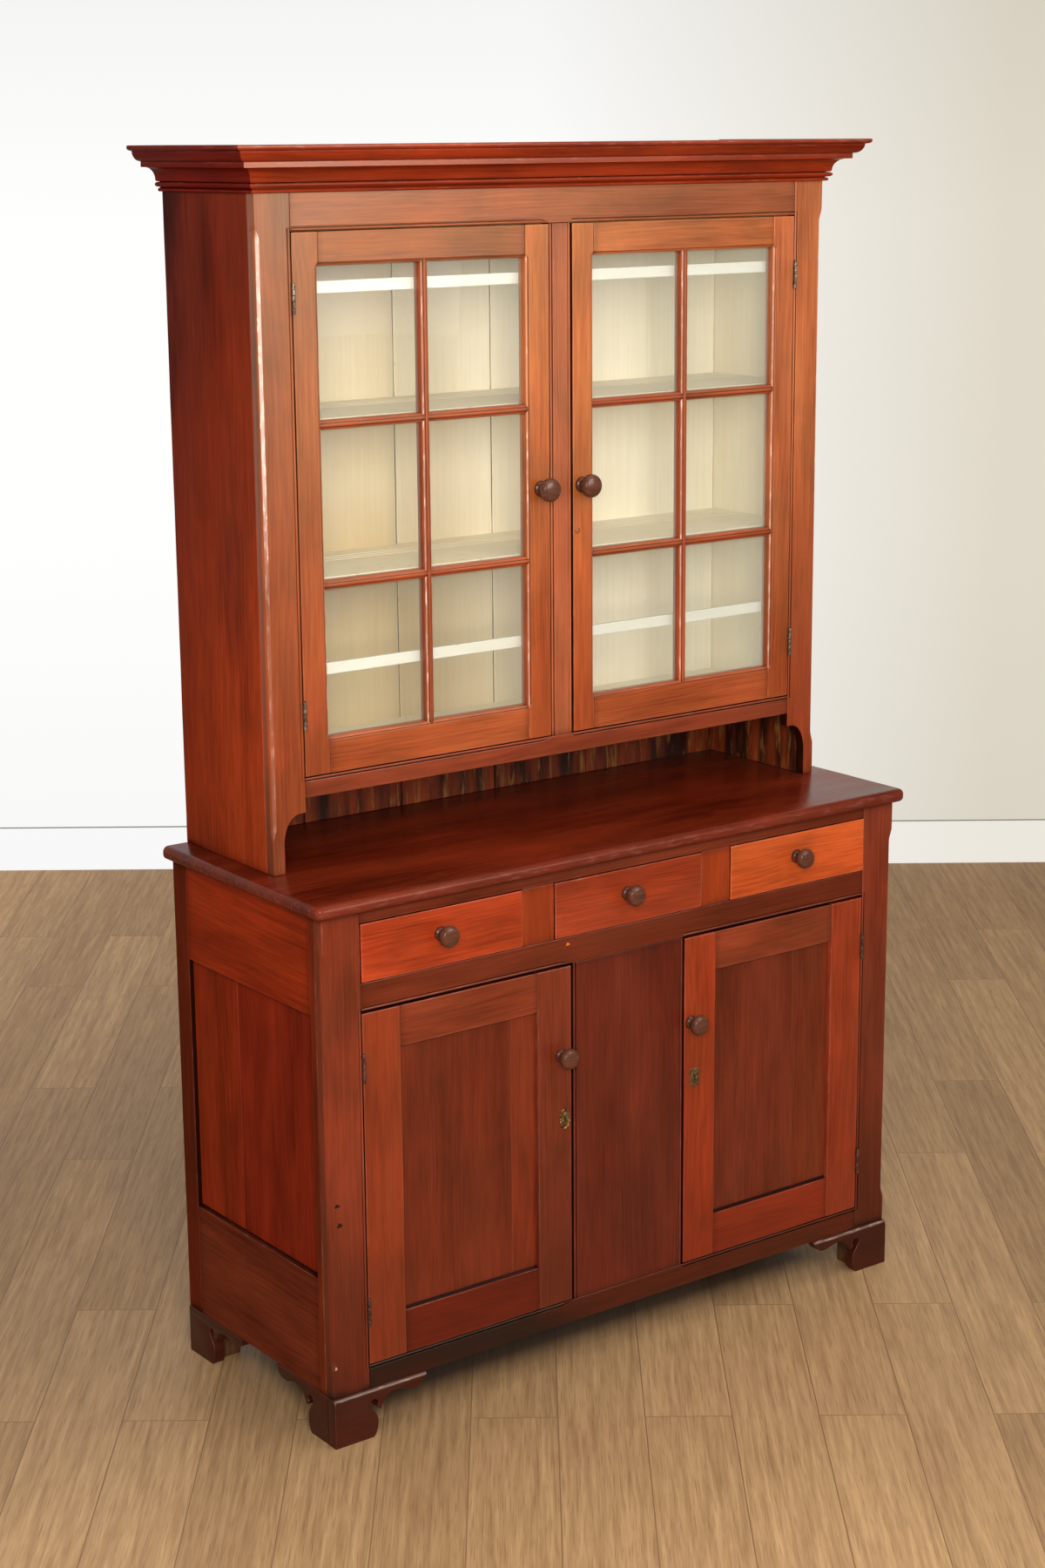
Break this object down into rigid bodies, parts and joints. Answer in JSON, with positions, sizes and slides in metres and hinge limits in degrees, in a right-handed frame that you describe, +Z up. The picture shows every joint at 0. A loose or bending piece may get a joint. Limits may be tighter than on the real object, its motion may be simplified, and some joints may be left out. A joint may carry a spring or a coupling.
{
  "type": "step back cupboard",
  "caption": "Step back cupboard: glazed upper case over an open counter recess, base with drawers, panelled doors and bracket feet; doors hinge, drawers slide, knobs turn latches.",
  "frame": {"origin": "middle of the footprint on the floor, with the knobs counted in the footprint", "axes": "+X to the right across the front, +Y from the front to the back, +Z up"},
  "size_m": [1.334, 0.516, 2.134],
  "materials": {
    "cherry": "satin varnish",
    "light_cherry": "satin varnish",
    "cream_paint": "worn paint",
    "pale_wood": "bare",
    "back_wood": "stained",
    "dark_wood": "polished",
    "hinge_iron": "aged",
    "glass": "clear"
  },
  "bodies": {
    "case": {"base_face_frame": "cherry", "base_side_frame_left": "cherry", "base_side_frame_right": "cherry", "base_side_panel_left": "cherry", "base_side_panel_right": "cherry", "base_centre_board": "cherry", "base_bottom_board": "pale_wood", "base_shelf": "pale_wood", "base_back_boards": "back_wood", "drawer_runner_frame": "pale_wood", "counter_top": "cherry", "front_foot_left": "cherry", "front_foot_right": "cherry", "rear_foot_left": "cherry", "rear_foot_right": "cherry", "upper_face_frame": "cherry", "upper_side_left": "cherry", "upper_side_right": "cherry", "upper_top_board": "back_wood", "upper_bottom_board": "cream_paint", "lower_shelf": "cream_paint", "upper_shelf": "cream_paint", "lower_plate_bar": "cream_paint", "upper_plate_bar": "cream_paint", "upper_back_boards": "cream_paint", "cornice": "cherry", "lower_left_hinge_frame_leaf_bottom": "hinge_iron", "lower_left_hinge_frame_leaf_top": "hinge_iron", "lower_right_hinge_frame_leaf_bottom": "hinge_iron", "lower_right_hinge_frame_leaf_top": "hinge_iron", "upper_left_hinge_frame_leaf_bottom": "hinge_iron", "upper_left_hinge_frame_leaf_top": "hinge_iron", "upper_right_hinge_frame_leaf_bottom": "hinge_iron", "upper_right_hinge_frame_leaf_top": "hinge_iron"},
    "lower_left_door": {"lower_left_door_frame": "light_cherry", "lower_left_door_panel": "cherry", "lower_left_hinge_door_leaf_bottom": "hinge_iron", "lower_left_hinge_door_leaf_top": "hinge_iron"},
    "lower_left_latch": {"lower_left_door_knob": "dark_wood"},
    "lower_right_door": {"lower_right_door_frame": "light_cherry", "lower_right_door_panel": "cherry", "lower_right_hinge_door_leaf_bottom": "hinge_iron", "lower_right_hinge_door_leaf_top": "hinge_iron"},
    "lower_right_latch": {"lower_right_door_knob": "dark_wood"},
    "upper_left_door": {"upper_left_sash": "light_cherry", "upper_left_glass": "glass", "upper_left_hinge_door_leaf_bottom": "hinge_iron", "upper_left_hinge_door_leaf_top": "hinge_iron"},
    "upper_left_latch": {"upper_left_door_knob": "dark_wood"},
    "upper_right_door": {"upper_right_sash": "light_cherry", "upper_right_glass": "glass", "upper_right_hinge_door_leaf_bottom": "hinge_iron", "upper_right_hinge_door_leaf_top": "hinge_iron"},
    "upper_right_latch": {"upper_right_door_knob": "dark_wood"},
    "drawer_left": {"drawer_left": "light_cherry", "drawer_knob_left": "dark_wood"},
    "drawer_centre": {"drawer_centre": "light_cherry", "drawer_knob_centre": "dark_wood"},
    "drawer_right": {"drawer_right": "light_cherry", "drawer_knob_right": "dark_wood"}
  },
  "joints": [
    {"name": "lower_left_door_hinge", "type": "hinge", "parent": "case", "child": "lower_left_door", "pos_m": [-0.56025, -0.2255, 0.4305], "axis": [0, 0, -1], "range_deg": [0, 170]},
    {"name": "lower_left_latch_turn", "type": "hinge", "parent": "lower_left_door", "child": "lower_left_latch", "pos_m": [-0.1515, -0.222, 0.5925], "axis": [0, -1, 0], "range_deg": [0, 90]},
    {"name": "lower_right_door_hinge", "type": "hinge", "parent": "case", "child": "lower_right_door", "pos_m": [0.56025, -0.2255, 0.4305], "axis": [0, 0, 1], "range_deg": [0, 170]},
    {"name": "lower_right_latch_turn", "type": "hinge", "parent": "lower_right_door", "child": "lower_right_latch", "pos_m": [0.1425, -0.222, 0.5925], "axis": [0, 1, 0], "range_deg": [0, 90]},
    {"name": "upper_left_door_hinge", "type": "hinge", "parent": "case", "child": "upper_left_door", "pos_m": [-0.53725, -0.0355, 1.4105], "axis": [0, 0, -1], "range_deg": [0, 170]},
    {"name": "upper_left_latch_turn", "type": "hinge", "parent": "upper_left_door", "child": "upper_left_latch", "pos_m": [-0.045, -0.032, 1.5505], "axis": [0, -1, 0], "range_deg": [0, 90]},
    {"name": "upper_right_door_hinge", "type": "hinge", "parent": "case", "child": "upper_right_door", "pos_m": [0.53725, -0.0355, 1.4105], "axis": [0, 0, 1], "range_deg": [0, 170]},
    {"name": "upper_right_latch_turn", "type": "hinge", "parent": "upper_right_door", "child": "upper_right_latch", "pos_m": [0.045, -0.032, 1.5505], "axis": [0, 1, 0], "range_deg": [0, 90]},
    {"name": "drawer_left_slide", "type": "slide", "parent": "case", "child": "drawer_left", "axis": [0, -1, 0], "range_m": [0, 0.32]},
    {"name": "drawer_centre_slide", "type": "slide", "parent": "case", "child": "drawer_centre", "axis": [0, -1, 0], "range_m": [0, 0.32]},
    {"name": "drawer_right_slide", "type": "slide", "parent": "case", "child": "drawer_right", "axis": [0, -1, 0], "range_m": [0, 0.32]}
  ]
}
